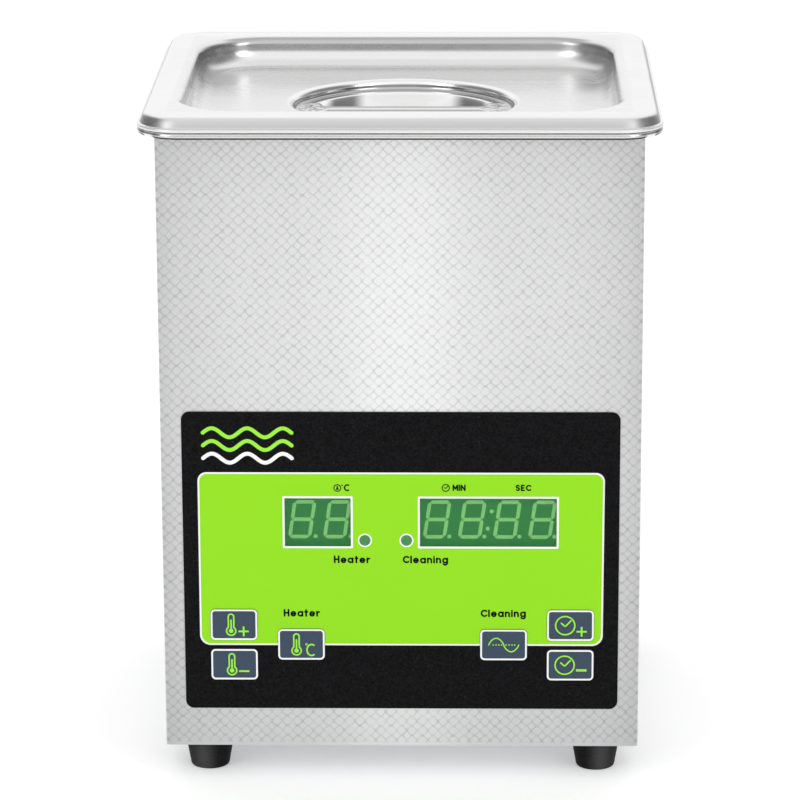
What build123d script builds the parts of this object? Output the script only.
from build123d import *
import math
import os

os.makedirs("parts", exist_ok=True)

# ---------------------------------------------------------------- dimensions
# millimetres; origin on the ground under the middle of the cleaner,
# +Z up, front panel towards -Y.

# rim and lid (one-sixth gastronorm footprint)
RIM_HX, RIM_HY, RIM_R = 88.0, 81.0, 14.8
RIM_BOT, RIM_TOP = 227.8, 230.7
SHEET = 0.8
LID_BOT = 231.0
LIP_TOP = 232.0
LAND_Z = 234.7
LAND_HX, LAND_HY, LAND_R = 85.2, 78.2, 12.0
REC_HX, REC_HY, REC_R = 73.6, 65.8, 21.5      # recess wall at the land
REC_IN = 1.0                                   # draw taper of the recess wall
REC_EDGE = 2.5                                 # bend from land into recess
PANEL_Z = 224.4
REC_FLOOR_R = 6.0
DISH_R = 38.8
DISH_LIP = 1.5
LEDGE_Z = 220.8
BOWL_R0, BOWL_R1, BOWL_Z = 33.0, 18.0, 206.5

# handle: strip with flat tabs, folded to a channel across the bowl
STRAP_T, TAB_W = 1.0, 18.0
TAB_X, FOLD_X0, FOLD_X1 = 36.7, 30.0, 25.5
GRIP_TOP, GRIP_HW, GRIP_DEPTH = 221.9, 4.7, 4.0

# housing
BODY_HX, BODY_HY = 81.75, 74.5
BODY_BOT, BODY_TOP = 12.0, 228.9
CORNER_R = 1.5
BASE_T = 1.0

# tank
TANK_HX, TANK_HY, TANK_R = 75.8, 68.2, 25.0   # inner wall at the rim
TANK_IN = 2.5                                  # draw taper to the floor
TANK_FLOOR = 131.8
TANK_FLOOR_R = 10.0

# feet
FOOT_X, FOOT_Y = 67.5, 60.1
FOOT_R_TOP, FOOT_R_BOT, FOOT_H = 8.8, 6.7, 12.0

# front control panel
OV_HX, OV_Z0, OV_Z1, OV_R, OV_T = 74.55, 25.8, 132.3, 2.8, 0.5
TW = (-40.4, -16.4, 83.95, 103.07)            # temperature window x0 x1 z0 z1
MW = (5.8, 53.9, 83.95, 103.07)               # timer window
LED_Z, LED_HEAT_X, LED_CLEAN_X, LED_R = 86.8, -12.3, 1.9, 1.9
KEY_W, KEY_H, KEY_R, KEY_GAP = 16.1, 11.2, 1.5, 0.2
KEYS = {
    "key_temp_up": (-57.55, 56.3),
    "key_temp_down": (-57.55, 41.9),
    "key_heat": (-34.4, 49.2),
    "key_clean": (35.2, 49.2),
    "key_time_up": (58.15, 56.3),
    "key_time_down": (58.15, 41.9),
}
PCB_Y = -64.0                                  # front face of the control board
FRONT_IN = -BODY_HY + SHEET                    # inner face of the front wall

# rear fittings
FAN_X, FAN_Z, FAN_S, FAN_D, FAN_BORE = -38.0, 72.0, 60.0, 15.0, 28.5
INL_X, INL_Z = 38.0, 46.0
SW_X, SW_Z, SW_Y = 38.0, 92.0, 72.0
ROCK_TILT = 10.0
REAR_IN = BODY_HY - SHEET                      # inner face of the rear panel

written = {}


def out(name, *solids):
    items = []
    for s in solids:
        items += list(s.solids())
    shape = items[0] if len(items) == 1 else Compound(children=items)
    export_step(shape, f"parts/{name}.step")
    written[name] = len(items)


def bx(x0, x1, y0, y1, z0, z1):
    return Pos((x0 + x1) / 2, (y0 + y1) / 2, (z0 + z1) / 2) * Box(x1 - x0, y1 - y0, z1 - z0)


def cz(x, y, z0, z1, r):
    return Pos(x, y, (z0 + z1) / 2) * Cylinder(r, z1 - z0)


def cy(x, z, y0, y1, r):
    return Pos(x, (y0 + y1) / 2, z) * Rot(90, 0, 0) * Cylinder(r, y1 - y0)


def cx(y, z, x0, x1, r):
    return Pos((x0 + x1) / 2, y, z) * Rot(0, 90, 0) * Cylinder(r, x1 - x0)


def face_z(hx, hy, r, z):
    return Pos(0, 0, z) * RectangleRounded(2 * hx, 2 * hy, r)


def prism(hx, hy, r, z0, z1):
    return extrude(face_z(hx, hy, r, z0), z1 - z0, dir=(0, 0, 1))


def taper(hx0, hy0, r0, z0, hx1, hy1, r1, z1):
    return loft([face_z(hx0, hy0, r0, z0).faces()[0], face_z(hx1, hy1, r1, z1).faces()[0]], ruled=True)


def plate_y(x0, x1, z0, z1, r, y0, y1):
    # rounded plate lying in the XZ plane
    sk = Plane(origin=((x0 + x1) / 2, y0, (z0 + z1) / 2), x_dir=(1, 0, 0), z_dir=(0, 1, 0))
    return extrude(sk * RectangleRounded(x1 - x0, z1 - z0, r), y1 - y0)


def ring_edges(shape, z, test=lambda e: True):
    found = []
    for e in shape.edges():
        b = e.bounding_box()
        if abs(b.min.Z - z) < 0.01 and abs(b.max.Z - z) < 0.01 and test(e):
            found.append(e)
    return found


def reach(e):
    c = e @ 0.5
    return math.hypot(c.X, c.Y)


def span(e):
    c = e @ 0.5
    return max(abs(c.X) / RIM_HX, abs(c.Y) / RIM_HY)


def wire(points, r, radii):
    path = FilletPolyline(*points, radius=radii)
    p0 = Vector(*points[0])
    d = (Vector(*points[1]) - p0).normalized()
    w = sweep(Plane(origin=p0, z_dir=d) * Circle(r), path=path)
    print("lead", round(w.volume, 1), round(math.pi * r * r * path.length, 1))
    return w


# ---------------------------------------------------------------- lid
def lid_block(t):
    """Everything under the lid's surface, set in by t; down to z 190."""
    b = prism(RIM_HX - t, RIM_HY - t, RIM_R - t, 190, LIP_TOP - t)
    b += taper(RIM_HX - t, RIM_HY - t, RIM_R - t, LIP_TOP - t,
               LAND_HX - t, LAND_HY - t, LAND_R - t, LAND_Z - t)
    k = REC_IN / (LAND_Z - PANEL_Z)
    up = 4.0
    b -= taper(REC_HX + t + k * up, REC_HY + t + k * up, REC_R + t + k * up, LAND_Z + up,
               REC_HX + t - REC_IN - k * t, REC_HY + t - REC_IN - k * t, REC_R + t - REC_IN - k * t, PANEL_Z - t)
    b -= cz(0, 0, LEDGE_Z - t, PANEL_Z + 1, DISH_R + t)
    slope = (BOWL_R0 - BOWL_R1) / (LEDGE_Z - BOWL_Z)
    n = math.hypot(1, slope)
    # the bowl's cone moved along its normal by t
    r_top = BOWL_R0 + t / n - (t - t * slope / n) * slope
    r_bot = r_top - (LEDGE_Z - BOWL_Z) * slope
    b -= Pos(0, 0, (LEDGE_Z + BOWL_Z) / 2 - t) * Cone(r_bot, r_top, LEDGE_Z - BOWL_Z)
    # bends
    b = fillet(ring_edges(b, BOWL_Z - t), 8.0 + t)
    b = fillet(ring_edges(b, LEDGE_Z - t, lambda e: reach(e) < 35), 3.0 - t)
    b = fillet(ring_edges(b, LEDGE_Z - t, lambda e: 36 < reach(e) < 45), 1.4 + t)
    b = fillet(ring_edges(b, PANEL_Z - t, lambda e: reach(e) < 45), DISH_LIP - 0.5 * t)
    b = fillet(ring_edges(b, PANEL_Z - t, lambda e: reach(e) > 50), REC_FLOOR_R + t)
    b = fillet(ring_edges(b, LAND_Z - t, lambda e: span(e) < 0.91), REC_EDGE - t)
    b = fillet(ring_edges(b, LAND_Z - t, lambda e: span(e) > 0.91), 1.2 - 0.5 * t)
    return b


lid = lid_block(0.0) - lid_block(SHEET)
skirt_cut = prism(RIM_HX + 6, RIM_HY + 6, RIM_R, 180, LID_BOT) - prism(80, 73, 14, 179, LID_BOT + 1)
lid = lid - skirt_cut
out("lid_shell", lid)

# handle: flat tabs welded on the ledge, folded to a channel between them
tab_top = LEDGE_Z + STRAP_T
flat_y = [0, 3.0, 4.2, 5.2, 6.2, TAB_W / 2]
flat_half = [(y, tab_top) for y in flat_y], [(y, tab_top - STRAP_T) for y in flat_y]
g = GRIP_TOP
grip_half = ([(0, g), (3.0, g), (3.9, g - 0.17), (4.48, g - 0.65), (GRIP_HW, g - 1.4), (GRIP_HW, g - GRIP_DEPTH)],
             [(0, g - 1.0), (3.0, g - 1.0), (3.35, g - 1.08), (3.58, g - 1.28), (3.7, g - 1.6), (3.7, g - GRIP_DEPTH)])


def strip_face(half, x):
    outer, inner = half
    ring = [(-y, z) for y, z in reversed(outer[1:])] + outer + list(reversed(inner)) + [(-y, z) for y, z in inner[1:]]
    return make_face(Polyline(*[(x, y, z) for y, z in ring], close=True))


strap = extrude(strip_face(grip_half, -FOLD_X1), 2 * FOLD_X1, dir=(1, 0, 0))
for s in (-1, 1):
    strap += loft([strip_face(flat_half, s * FOLD_X0).faces()[0], strip_face(grip_half, s * FOLD_X1).faces()[0]], ruled=True)
    a, b = sorted((s * TAB_X, s * FOLD_X0))
    tab = bx(a, b, -TAB_W / 2, TAB_W / 2, tab_top - STRAP_T, tab_top)
    tab = fillet([e for e in tab.edges().filter_by(Axis.Z) if abs(abs((e @ 0.5).X) - TAB_X) < 0.1], 3.0)
    strap += tab
out("lid_handle", strap)

# ---------------------------------------------------------------- tank
flange = prism(RIM_HX, RIM_HY, RIM_R, RIM_BOT, RIM_TOP)
flange = fillet(ring_edges(flange, RIM_TOP) + ring_edges(flange, RIM_BOT), 1.4)
bead = RIM_TOP - RIM_BOT
flange -= prism(RIM_HX - bead, RIM_HY - bead, RIM_R - bead, RIM_BOT - 1, RIM_TOP - SHEET)


def pan(t, z_floor):
    p = taper(TANK_HX + t, TANK_HY + t, TANK_R + t, RIM_TOP,
              TANK_HX + t - TANK_IN, TANK_HY + t - TANK_IN, TANK_R + t - TANK_IN, z_floor)
    return fillet(ring_edges(p, z_floor), TANK_FLOOR_R + t)


tank = flange + pan(SHEET, TANK_FLOOR - SHEET)
tank = fillet([e for e in tank.edges()
               if abs(e.bounding_box().min.Z - (RIM_TOP - SHEET)) < 0.01
               and abs(e.bounding_box().max.Z - (RIM_TOP - SHEET)) < 0.01
               and span(e) < 0.92], 1.7)
tank -= pan(0.0, TANK_FLOOR)
tank = fillet(ring_edges(tank, RIM_TOP, lambda e: span(e) < 0.9), 2.4)
out("tank", tank)

out("rim_seal", prism(BODY_HX + 0.15, BODY_HY + 0.15, 2.0, BODY_TOP, RIM_TOP - SHEET)
    - prism(BODY_HX - 2.7, BODY_HY - 2.7, 12.0, BODY_TOP - 1, RIM_TOP))

# ---------------------------------------------------------------- housing
wrap = bx(-BODY_HX, BODY_HX, -BODY_HY, REAR_IN, BODY_BOT, BODY_TOP)
wrap = fillet([e for e in wrap.edges().filter_by(Axis.Z) if (e @ 0.5).Y < 0], CORNER_R)
hollow = bx(-BODY_HX + SHEET, BODY_HX - SHEET, FRONT_IN, REAR_IN + 5, BODY_BOT - 1, BODY_TOP + 1)
hollow = fillet([e for e in hollow.edges().filter_by(Axis.Z) if (e @ 0.5).Y < 0], CORNER_R - SHEET)
wrap -= hollow
FL = 10.0
for s in (-1, 1):
    x0, x1 = sorted((s * (BODY_HX - SHEET - FL), s * (BODY_HX - SHEET)))
    wrap += bx(x0, x1, REAR_IN - SHEET, REAR_IN, BODY_BOT + 1.0 + BASE_T, BODY_TOP)
    x0, x1 = sorted((s * (BODY_HX - SHEET - FL + 1.0), s * (BODY_HX - SHEET)))
    wrap += bx(x0, x1, -69, 69, BODY_BOT + BASE_T, BODY_BOT + BASE_T + SHEET)
for x0, x1, z0, z1 in (TW, MW):
    wrap -= bx(x0 - 0.2, x1 + 0.3, -BODY_HY - 1, FRONT_IN + 1, z0 - 0.2, z1 + 0.2)
for x in (LED_HEAT_X, LED_CLEAN_X):
    wrap -= cy(x, LED_Z, -BODY_HY - 1, FRONT_IN + 1, LED_R + 0.1)
for kx, kz in KEYS.values():
    wrap -= plate_y(kx - KEY_W / 2 - 0.3, kx + KEY_W / 2 + 0.3, kz - KEY_H / 2 - 0.3, kz + KEY_H / 2 + 0.3,
                    KEY_R + 0.3, -BODY_HY - 1, FRONT_IN + 1)
PANEL_SCREWS = [(s * 76.0, z) for s in (-1, 1) for z in (26.0, 120.0, 214.0)]
BASE_SCREWS = [(s * 76.0, y) for s in (-1, 1) for y in (-35.0, 35.0)]
for x, z in PANEL_SCREWS:
    wrap -= cy(x, z, REAR_IN - 2, REAR_IN + 1, 1.5)
for x, y in BASE_SCREWS:
    wrap -= cz(x, y, BODY_BOT, BODY_BOT + 4, 1.5)
out("housing_wrap", wrap)

# rear panel: fan grille slots, inlet and switch cut-outs, upper vents
rear = plate_y(-BODY_HX, BODY_HX, BODY_BOT, BODY_TOP, 1.0, REAR_IN, BODY_HY)
SLOT_H, SLOT_P = 3.2, 6.2
for i in range(-4, 5):
    dz = i * SLOT_P
    half = math.sqrt(27.0 ** 2 - dz ** 2)
    for s in (-1, 1):
        a, b = sorted((s * 1.5, s * half))
        if b - a > SLOT_H + 1:
            rear -= plate_y(FAN_X + a, FAN_X + b, FAN_Z + dz - SLOT_H / 2, FAN_Z + dz + SLOT_H / 2,
                            SLOT_H / 2 - 0.01, REAR_IN - 1, BODY_HY + 1)
FAN_HOLES = [(FAN_X + a * 25.0, FAN_Z + b * 25.0) for a in (-1, 1) for b in (-1, 1)]
for x, z in FAN_HOLES:
    rear -= cy(x, z, REAR_IN - 1, BODY_HY + 1, 2.0)
for i in range(6):
    z = 150.0 + i * 7.0
    for s in (-1, 1):
        a, b = sorted((s * 12.0, s * 52.0))
        rear -= plate_y(a, b, z - 1.5, z + 1.5, 1.49, REAR_IN - 1, BODY_HY + 1)
INL_HX, INL_Z0, INL_Z1 = 13.5, INL_Z - 15.0, INL_Z + 15.0
rear -= bx(INL_X - INL_HX - 0.1, INL_X + INL_HX + 0.1, REAR_IN - 1, BODY_HY + 1, INL_Z0 - 0.1, INL_Z1 + 0.1)
rear -= bx(SW_X - 6.6, SW_X + 6.6, REAR_IN - 1, BODY_HY + 1, SW_Z - 9.6, SW_Z + 9.6)
INL_SCREWS = [(INL_X - 20.0, INL_Z), (INL_X + 20.0, INL_Z)]
for x, z in PANEL_SCREWS + INL_SCREWS:
    rear -= cy(x, z, REAR_IN - 1, BODY_HY + 1, 1.5)
out("rear_panel", rear)

# base plate with front and rear upstands and ventilation slots
base = bx(-BODY_HX + SHEET, BODY_HX - SHEET, FRONT_IN, REAR_IN, BODY_BOT, BODY_BOT + BASE_T)
base = fillet([e for e in base.edges().filter_by(Axis.Z) if (e @ 0.5).Y < 0], CORNER_R)
base += bx(-70, 70, FRONT_IN, FRONT_IN + BASE_T, BODY_BOT, BODY_BOT + 9)
base += bx(-70, 70, REAR_IN - BASE_T, REAR_IN, BODY_BOT, BODY_BOT + 9)
for s in (-1, 1):
    for i in range(7):
        x = s * 34.0 + (i - 3) * 7.0
        base -= prism(1.6, 16.0, 1.59, BODY_BOT - 1, BODY_BOT + BASE_T + 1).moved(Location((x, -14.0, 0)))
FEET = {"foot_front_left": (-1, -1), "foot_front_right": (1, -1),
        "foot_rear_left": (-1, 1), "foot_rear_right": (1, 1)}
for sx, sy in FEET.values():
    base -= cz(sx * FOOT_X, sy * FOOT_Y, BODY_BOT - 1, BODY_BOT + BASE_T + 1, 2.0)
for x, y in BASE_SCREWS:
    base -= cz(x, y, BODY_BOT - 1, BODY_BOT + BASE_T + 1, 1.5)
GEN_POSTS = [(-56.0, -50.0), (56.0, -50.0), (-56.0, 30.0), (56.0, 30.0)]
out("base_plate", base)

# rubber feet, counterbored for their screws
screws = []
for name, (sx, sy) in FEET.items():
    f = Pos(0, 0, FOOT_H / 2) * Cone(FOOT_R_BOT, FOOT_R_TOP, FOOT_H)
    f = fillet(ring_edges(f, 0), 1.6)
    f -= cz(0, 0, -1, 4.0, 3.4)
    f -= cz(0, 0, 3, FOOT_H + 1, 2.0)
    out(name, Pos(sx * FOOT_X, sy * FOOT_Y, 0) * f)
    s = cz(0, 0, 2.0, 4.0, 3.1) + cz(0, 0, 3.9, BODY_BOT + 6.0, 1.95)
    s -= bx(-2.4, 2.4, -0.4, 0.4, 1.0, 2.9)
    nut = extrude(Pos(0, 0, BODY_BOT + BASE_T) * RegularPolygon(3.5, 6), 2.4) - cz(0, 0, 10, 30, 1.95)
    screws += [Pos(sx * FOOT_X, sy * FOOT_Y, 0) * s, Pos(sx * FOOT_X, sy * FOOT_Y, 0) * nut]
out("foot_screws", *screws)


def pan_screw(length, r, rh, hh):
    """Pan head screw on the Z axis: head above z 0, shank below."""
    h = cz(0, 0, 0, hh, rh)
    h = fillet(h.edges().group_by(Axis.Z)[-1], min(hh, rh) * 0.55)
    h += cz(0, 0, -length, 0.05, r)
    h -= bx(-rh * 0.6, rh * 0.6, -rh * 0.13, rh * 0.13, hh * 0.45, hh + 1)
    h -= bx(-rh * 0.13, rh * 0.13, -rh * 0.6, rh * 0.6, hh * 0.45, hh + 1)
    return h


out("base_screws", *[Pos(x, y, BODY_BOT) * Rot(180, 0, 0) * pan_screw(5.0, 1.45, 3.0, 1.5) for x, y in BASE_SCREWS])
to_rear = Rot(-90, 0, 0)
out("rear_panel_screws",
    *[Pos(x, BODY_HY, z) * to_rear * pan_screw(5.0, 1.45, 3.0, 1.6) for x, z in PANEL_SCREWS],
    *[Pos(x, BODY_HY + 2.0, z) * to_rear * pan_screw(7.0, 1.45, 3.0, 1.6) for x, z in INL_SCREWS])

# ---------------------------------------------------------------- front control panel
OV_Y0, OV_Y1 = -BODY_HY - OV_T, -BODY_HY
ov = plate_y(-OV_HX, OV_HX, OV_Z0, OV_Z1, OV_R, OV_Y0, OV_Y1)
for w in (TW, MW):
    ov -= plate_y(w[0], w[1], w[2], w[3], 0.8, OV_Y0 - 1, OV_Y1 + 1)
for x in (LED_HEAT_X, LED_CLEAN_X):
    ov -= cy(x, LED_Z, OV_Y0 - 1, OV_Y1 + 1, LED_R + 0.05)
for kx, kz in KEYS.values():
    ov -= plate_y(kx - KEY_W / 2 - KEY_GAP, kx + KEY_W / 2 + KEY_GAP, kz - KEY_H / 2 - KEY_GAP, kz + KEY_H / 2 + KEY_GAP,
                  KEY_R + KEY_GAP, OV_Y0 - 1, OV_Y1 + 1)
out("control_overlay", ov)
for name, w in (("temp_window", TW), ("timer_window", MW)):
    out(name, plate_y(w[0], w[1], w[2], w[3], 0.8, OV_Y0, OV_Y1))

# keys: cap, retaining flange behind the wall, stem on the tact switch
for name, (kx, kz) in KEYS.items():
    k = plate_y(kx - KEY_W / 2, kx + KEY_W / 2, kz - KEY_H / 2, kz + KEY_H / 2, KEY_R, OV_Y0 - 0.3, FRONT_IN + 0.4)
    front = [e for e in k.edges() if abs(e.bounding_box().max.Y - (OV_Y0 - 0.3)) < 0.01]
    k = fillet(front, 0.2)
    k += plate_y(kx - KEY_W / 2 - 0.9, kx + KEY_W / 2 + 0.9, kz - KEY_H / 2 - 0.9, kz + KEY_H / 2 + 0.9, KEY_R,
                 FRONT_IN + 0.3, FRONT_IN + 1.3)
    k += cy(kx, kz, FRONT_IN + 1.2, PCB_Y - 4.0, 1.75)
    out(name, k)
out("tact_switches", *[bx(kx - 3, kx + 3, PCB_Y - 3.5, PCB_Y, kz - 3, kz + 3) for kx, kz in KEYS.values()])

# display modules with raised seven-segment bars
DISP_F = PCB_Y - 8.0                           # front face of the modules
DIG_H, DIG_W, SEG, LEAN = 13.7, 8.0, 1.25, 0.152


def digit(cx0, cz0):
    """Seven separate bars of one leaning digit, 0.2 deep."""
    h, w = DIG_H / 2, DIG_W / 2
    bars = []

    def bar(x0, z0, x1, z1):
        horizontal = abs(z1 - z0) < 0.01
        c, g = SEG / 2, 0.13
        if horizontal:
            p = [(x0 + g, z0), (x0 + c + g, z0 + c), (x1 - c - g, z0 + c), (x1 - g, z0),
                 (x1 - c - g, z0 - c), (x0 + c + g, z0 - c)]
        else:
            p = [(x0, z0 + g), (x0 + c, z0 + c + g), (x0 + c, z1 - c - g), (x0, z1 - g),
                 (x0 - c, z1 - c - g), (x0 - c, z0 + c + g)]
        p = [(a + LEAN * b, b) for a, b in p]
        f = make_face(Polyline(*p, close=True))
        pl = Plane(origin=(cx0, DISP_F, cz0), x_dir=(1, 0, 0), z_dir=(0, -1, 0))
        bars.append(extrude(pl * f, 0.2))

    q = SEG / 2
    bar(-w + q, h - q, w - q, h - q)
    bar(-w + q, 0, w - q, 0)
    bar(-w + q, -h + q, w - q, -h + q)
    for s in (-1, 1):
        bar(s * (w - q), 0, s * (w - q), h - q)
        bar(s * (w - q), -h + q, s * (w - q), 0)
    return bars


def dot(x, z):
    return cy(x, z, DISP_F - 0.2, DISP_F, 0.7)


TC, MC = (TW[0] + TW[1]) / 2, (MW[0] + MW[1]) / 2
DC = (TW[2] + TW[3]) / 2
DP = 12.0                                      # digit pitch
temp_digits, timer_digits = [], []
DZ = DC - 0.1
for i in range(2):
    x = TC + 0.58 + (i - 0.5) * DP
    temp_digits += digit(x, DZ)
    temp_digits.append(dot(x + 4.55, DZ - 6.1))
for i in range(4):
    x = MC + 0.5 + (i - 1.5) * DP
    timer_digits += digit(x, DZ)
    timer_digits.append(dot(x + 4.15, DZ - 6.1))
timer_digits += [dot(MC + 1.14, DZ + 2.95), dot(MC - 0.2, DZ - 3.2)]
out("temp_display", bx(TC - 12.55, TC + 12.55, DISP_F, PCB_Y, DC - 9.5, DC + 9.5))
out("timer_display", bx(MC - 25.15, MC + 25.15, DISP_F, PCB_Y, DC - 9.5, DC + 9.5))
out("temp_segments", *temp_digits)
out("timer_segments", *timer_digits)
leds = []
for x in (LED_HEAT_X, LED_CLEAN_X):
    leds.append(cy(x, LED_Z, OV_Y0 + 0.05, PCB_Y, LED_R))
out("indicator_leds", *leds)

pcb = bx(-74, 74, PCB_Y, PCB_Y + 1.6, 30, 112)
CP = [(-71.0, 33.5), (71.0, 33.5), (-71.0, 108.5), (71.0, 108.5)]
for x, z in CP:
    pcb -= cy(x, z, PCB_Y - 1, PCB_Y + 3, 1.5)
out("control_pcb", pcb)
posts = []
for x, z in CP:
    hexa = extrude(Plane(origin=(x, FRONT_IN, z), x_dir=(1, 0, 0), z_dir=(0, 1, 0)) * RegularPolygon(2.9, 6), PCB_Y - FRONT_IN)
    hexa += cy(x, z, PCB_Y - 0.5, PCB_Y + 4.0, 1.45)
    nut = extrude(Plane(origin=(x, PCB_Y + 1.6, z), x_dir=(1, 0, 0), z_dir=(0, 1, 0)) * RegularPolygon(2.9, 6), 1.8)
    posts += [hexa, nut - cy(x, z, PCB_Y, PCB_Y + 9, 1.45)]
out("control_standoffs", *posts)
pb = PCB_Y + 1.6
out("control_chips",
    bx(-22, -8, pb, pb + 2.4, 66, 80), bx(14, 34, pb, pb + 3.0, 84, 92), bx(14, 34, pb, pb + 3.0, 70, 78),
    bx(-54, -44, pb, pb + 2.0, 84, 90), bx(-40, -36, pb, pb + 1.8, 70, 81), bx(46, 50, pb, pb + 1.8, 70, 81),
    cy(-50, 68, pb, pb + 9, 4.0), bx(-12, 12, pb, pb + 6.0, 37, 43))

# ---------------------------------------------------------------- generator board
GZ0 = BODY_BOT + BASE_T + 6.0
GZ1 = GZ0 + 1.6
gpcb = bx(-62, 62, -56, 36, GZ0, GZ1)
for x, y in GEN_POSTS:
    gpcb -= cz(x, y, GZ0 - 1, GZ1 + 1, 1.5)
out("generator_pcb", gpcb)
posts = []
for x, y in GEN_POSTS:
    p = cz(x, y, BODY_BOT + BASE_T, GZ0, 3.0) + cz(x, y, GZ0 - 0.5, GZ1 + 0.05, 1.45)
    p += cz(x, y, GZ1, GZ1 + 1.6, 2.7)
    posts.append(p)
out("generator_standoffs", *posts)

# transformer: E-core round a wound bobbin
TX, TY = 34.0, -22.0
core = bx(TX - 17, TX + 17, TY - 6, TY + 6, GZ1, GZ1 + 28)
core -= bx(TX - 12, TX - 5, TY - 7, TY + 7, GZ1 + 5, GZ1 + 23)
core -= bx(TX + 5, TX + 12, TY - 7, TY + 7, GZ1 + 5, GZ1 + 23)
coil = bx(TX - 11.8, TX + 11.8, TY - 13, TY + 13, GZ1 + 5.2, GZ1 + 22.8)
coil = fillet(coil.edges().filter_by(Axis.Z), 5.0)
coil -= bx(TX - 5.05, TX + 5.05, TY - 6.05, TY + 6.05, GZ1, GZ1 + 30)
coil -= bx(TX - 20, TX - 11.95, TY - 6.05, TY + 6.05, GZ1, GZ1 + 30)
coil -= bx(TX + 11.95, TX + 20, TY - 6.05, TY + 6.05, GZ1, GZ1 + 30)
out("transformer_core", core)
out("transformer_coil", coil)
out("choke_coil", Pos(-4, -38, GZ1 + 13.0) * Rot(90, 0, 0) * Torus(9.0, 4.0))
# finned heatsink and the transistors clamped to it
HX, HY = -42.0, -10.0
sink = bx(HX - 3, HX, HY - 28, HY + 28, GZ1, GZ1 + 32)
for i in range(6):
    z = GZ1 + 2 + i * 5.4
    sink += bx(HX - 14, HX - 2.9, HY - 28, HY + 28, z, z + 1.6)
out("heatsink", sink)
out("power_transistors", *[bx(HX, HX + 4.6, HY + y - 8, HY + y + 8, GZ1 + 8, GZ1 + 27) for y in (-16, 12)])
out("filter_capacitors", cz(-18, 24, GZ1, GZ1 + 30, 9.0), cz(4, 24, GZ1, GZ1 + 30, 9.0),
    bx(-20, 2, -16, -8, GZ1, GZ1 + 14))
out("heater_relay", bx(24, 43, 2, 17, GZ1, GZ1 + 15.5))

# ---------------------------------------------------------------- transducer under the tank
ZT = TANK_FLOOR - SHEET
horn = cz(0, 0, ZT - 6, ZT, 29.0) + Pos(0, 0, ZT - 18) * Cone(19.5, 28.0, 24.0) + cz(0, 0, ZT - 30.5, ZT - 29.5, 19.5)
horn -= cz(0, 0, ZT - 31, ZT - 10, 5.0)
out("transducer_horn", horn)
zc = ZT - 30.5


def disc(z0, z1, r0, r1):
    return cz(0, 0, z0, z1, r1) - cz(0, 0, z0 - 1, z1 + 1, r0)


out("transducer_ceramics", disc(zc - 5, zc, 7.5, 19.0), disc(zc - 10.3, zc - 5.3, 7.5, 19.0))
e1 = (cz(0, 0, zc - 5.3, zc - 5, 19.0) + bx(17, 27, -3, 3, zc - 5.3, zc - 5)) - cz(0, 0, zc - 9, zc, 7.5)
e2 = (cz(0, 0, zc - 10.6, zc - 10.3, 19.0) + bx(-27, -17, -3, 3, zc - 10.6, zc - 10.3)) - cz(0, 0, zc - 19, zc, 7.5)
out("transducer_electrodes", e1, e2)
mass = disc(zc - 34.6, zc - 10.6, 5.2, 19.5)
mass = chamfer(mass.edges().group_by(Axis.Z)[0].sort_by(SortBy.LENGTH)[-1:], 1.0)
out("transducer_back_mass", mass)
bolt = cz(0, 0, zc - 42.6, zc - 34.6, 8.0) + cz(0, 0, zc - 35, zc + 18, 4.95)
bolt -= extrude(Pos(0, 0, zc - 43) * RegularPolygon(4.0, 6), 5.0)
out("transducer_bolt", bolt)

# heater mat round the transducer, thermal cut-out on the mat
mat = prism(60, 52, 14, ZT - 1.5, ZT) - cz(0, 0, ZT - 3, ZT + 1, 32.0)
out("heater_pad", mat)
tc = cz(44, -36, ZT - 1.5 - 5.0, ZT - 1.5, 8.0) + cz(44, -36, ZT - 1.5 - 9.0, ZT - 1.5 - 4.9, 6.5)
out("thermal_cutout", tc)

# ---------------------------------------------------------------- rear fittings
# fan: square frame, three struts to the motor seat
FY0, FY1 = REAR_IN - FAN_D, REAR_IN
fan = plate_y(FAN_X - 30, FAN_X + 30, FAN_Z - 30, FAN_Z + 30, 3.0, FY0, FY1)
fan -= cy(FAN_X, FAN_Z, FY0 - 1, FY1 + 1, FAN_BORE)
for x, z in FAN_HOLES:
    fan -= cy(x, z, FY0 - 1, FY1 + 1, 2.0)
fan += cy(FAN_X, FAN_Z, FY0, FY0 + 2.0, 13.0)
for a in (90, 210, 330):
    fan += Pos(FAN_X, FY0 + 1.0, FAN_Z) * Rot(0, a, 0) * bx(12, 29.2, -1.0, 1.0, -1.5, 1.5)
fan -= cy(FAN_X, FAN_Z, FY0 - 1, FY0 + 3, 1.55)
out("fan_frame", fan)
RY0, RY1 = FY0 + 2.4, FY1 - 1.0
hub = cy(FAN_X, FAN_Z, RY0, RY1, 12.5)
hub = fillet([e for e in hub.edges() if e.bounding_box().min.Y > RY1 - 0.1], 1.5)
hub += cy(FAN_X, FAN_Z, FY0 + 0.3, RY0 + 0.5, 1.5)
keep = cy(FAN_X, FAN_Z, RY0, RY1, 27.5)
mid = (RY0 + RY1) / 2
blades = None
for i in range(7):
    b = Pos(FAN_X, mid, FAN_Z) * Rot(0, i * 360 / 7, 0) * Rot(42, 0, 0) * bx(10.5, 30, -6.6, 6.6, -0.6, 0.6)
    b = b & keep
    hub += b
out("fan_rotor", hub)
out("fan_screws", *[Pos(x, BODY_HY, z) * to_rear * pan_screw(12.0, 1.9, 3.4, 1.8) for x, z in FAN_HOLES])

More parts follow.
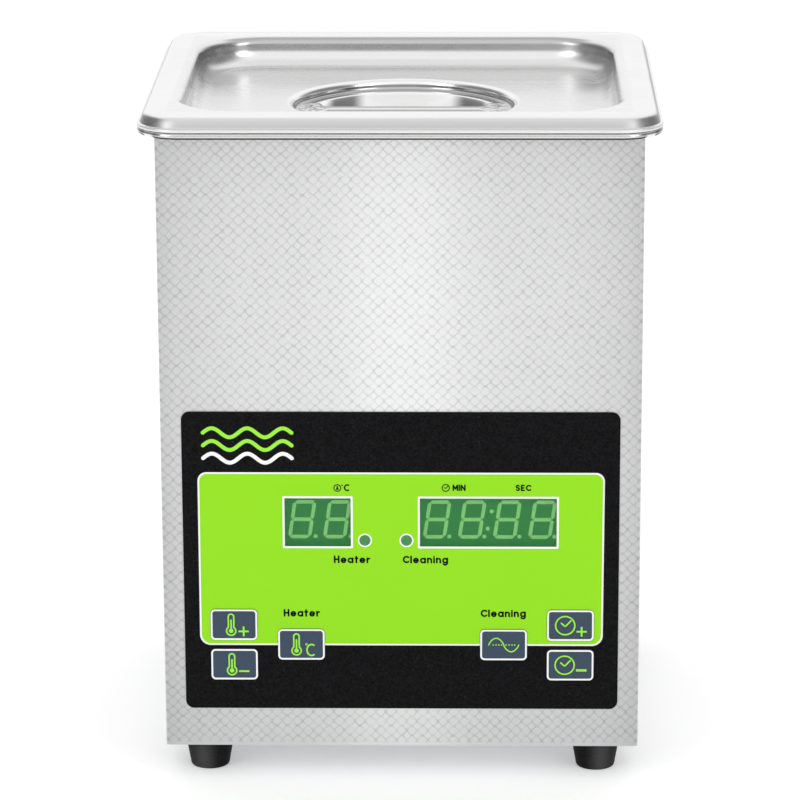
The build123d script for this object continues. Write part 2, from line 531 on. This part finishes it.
# mains inlet with its fuse drawer below the socket
IY0, IY1 = 50.0, BODY_HY + 2.0
inl = bx(INL_X - INL_HX, INL_X + INL_HX, IY0, BODY_HY + 0.1, INL_Z0, INL_Z1)
inl += plate_y(INL_X - 25, INL_X + 25, INL_Z - 17, INL_Z + 17, 3.0, BODY_HY, IY1)
SOC_Z = INL_Z + 5.5
soc = bx(INL_X - 12.2, INL_X + 12.2, IY1 - 16, IY1 + 1, SOC_Z - 8.2, SOC_Z + 8.2)
soc = chamfer([e for e in soc.edges().filter_by(Axis.Y) if (e @ 0.5).Z > SOC_Z], 4.5)
inl -= soc
DR_Z = INL_Z - 9.3
inl -= bx(INL_X - 11.3, INL_X + 11.3, 54.0, IY1 + 1, DR_Z - 3.6, DR_Z + 3.6)
for x, z in INL_SCREWS:
    inl -= cy(x, z, BODY_HY - 1, IY1 + 1, 1.5)
pins = [bx(INL_X + dx - 1.0, INL_X + dx + 1.0, 42.0, IY1 - 3.0, SOC_Z + dz - 2.0, SOC_Z + dz + 2.0)
        for dx, dz in ((-7, -2.0), (7, -2.0), (0, 2.0))]
for p in pins:
    inl -= p
out("iec_inlet", inl)
out("inlet_pins", *pins)
dr = bx(INL_X - 11.0, INL_X + 11.0, 54.5, IY1 + 0.4, DR_Z - 3.3, DR_Z + 3.3)
dr += plate_y(INL_X - 12.2, INL_X + 12.2, DR_Z - 4.2, DR_Z + 4.2, 1.0, IY1 + 0.3, IY1 + 2.0)
dr -= bx(INL_X - 4, INL_X + 4, IY1 + 1.2, IY1 + 3, DR_Z + 1.6, DR_Z + 2.9)
dr -= bx(INL_X - 10.15, INL_X + 10.15, 57.3, 62.7, DR_Z - 4, DR_Z + 4)
out("fuse_drawer", dr)
out("fuse", cx(60.0, DR_Z, INL_X - 10.15, INL_X + 10.15, 2.55))

# power switch: bezel and well, rocker on two side stubs
sw = bx(SW_X - 6.5, SW_X + 6.5, 58.0, BODY_HY + 0.1, SW_Z - 9.5, SW_Z + 9.5)
sw += plate_y(SW_X - 7.6, SW_X + 7.6, SW_Z - 10.5, SW_Z + 10.5, 0.8, BODY_HY, BODY_HY + 2.0)
sw -= bx(SW_X - 5.6, SW_X + 5.6, SW_Y - 3.6, BODY_HY + 3, SW_Z - 9.0, SW_Z + 9.0)
sw -= cx(SW_Y, SW_Z, SW_X - 6.3, SW_X + 6.3, 1.25)
sw += bx(SW_X - 2.4, SW_X + 2.4, 50.0, 58.1, SW_Z + 4.6, SW_Z + 5.4)
sw += bx(SW_X - 2.4, SW_X + 2.4, 50.0, 58.1, SW_Z - 5.4, SW_Z - 4.6)
out("switch_body", sw)
prof = [(-7.8, -1.5), (7.8, -1.5), (7.8, 5.6), (0, 3.9), (-7.8, 5.6)]
f = make_face(Polyline(*prof, close=True))
# profile coordinates: first along Z, second outwards along +Y
rk = extrude(Plane(origin=(0, 0, 0), x_dir=(0, 0, 1), z_dir=(1, 0, 0)) * f, 5.3, both=True)
rk = rk if rk.bounding_box().max.Y > 5 else Rot(180, 0, 0) * rk
rk += cx(0, 0, -6.2, 6.2, 1.2)
out("switch_rocker", Pos(SW_X, SW_Y, SW_Z) * Rot(ROCK_TILT, 0, 0) * rk)

# ---------------------------------------------------------------- internal leads
LZ = SOC_Z - 2.0
out("mains_leads",
    wire([(INL_X - 7, 41.95, LZ), (INL_X - 7, 32, LZ), (INL_X - 7, 32, GZ1 + 0.02)], 1.1, 6.0),
    wire([(INL_X + 7, 41.95, LZ), (INL_X + 7, 31, LZ), (INL_X + 7, 31, SW_Z - 18), (INL_X, 38, SW_Z - 5),
          (INL_X, 49.95, SW_Z - 5)], 1.1, [5.0, 5.0, 5.0]),
    wire([(INL_X, 49.95, SW_Z + 5), (INL_X, 38, SW_Z + 5), (INL_X - 15, 26, 66), (INL_X - 15, 26, GZ1 + 0.02)],
         1.1, [5.0, 8.0]))
out("tank_leads",
    wire([(27.05, 0, zc - 5.15), (38, 0, zc - 5.15), (50, -5, 66), (50, -5, GZ1 + 0.02)], 0.9, [5.0, 8.0]),
    wire([(-27.05, 0, zc - 10.45), (-34, 0, zc - 10.45), (-31, 8, 62), (-31, 8, GZ1 + 0.02)], 0.9, [3.5, 8.0]),
    wire([(44, -36, ZT - 10.55), (44, -36, 112), (54, -36, 98), (54, -36, GZ1 + 0.02)], 0.9, [4.0, 8.0]))
path = FilletPolyline((0, PCB_Y + 7.6, 40), (0, -51, 40), (0, -51, GZ1 + 6.0), radius=4.0)
rib = sweep(Plane(origin=(0, PCB_Y + 7.6, 40), x_dir=(1, 0, 0), z_dir=(0, 1, 0)) * Rectangle(20, 0.9), path=path)
out("control_ribbon", rib, bx(-12, 12, -54, -48, GZ1, GZ1 + 6.0))

print(len(written), "nodes", sum(written.values()), "solids")
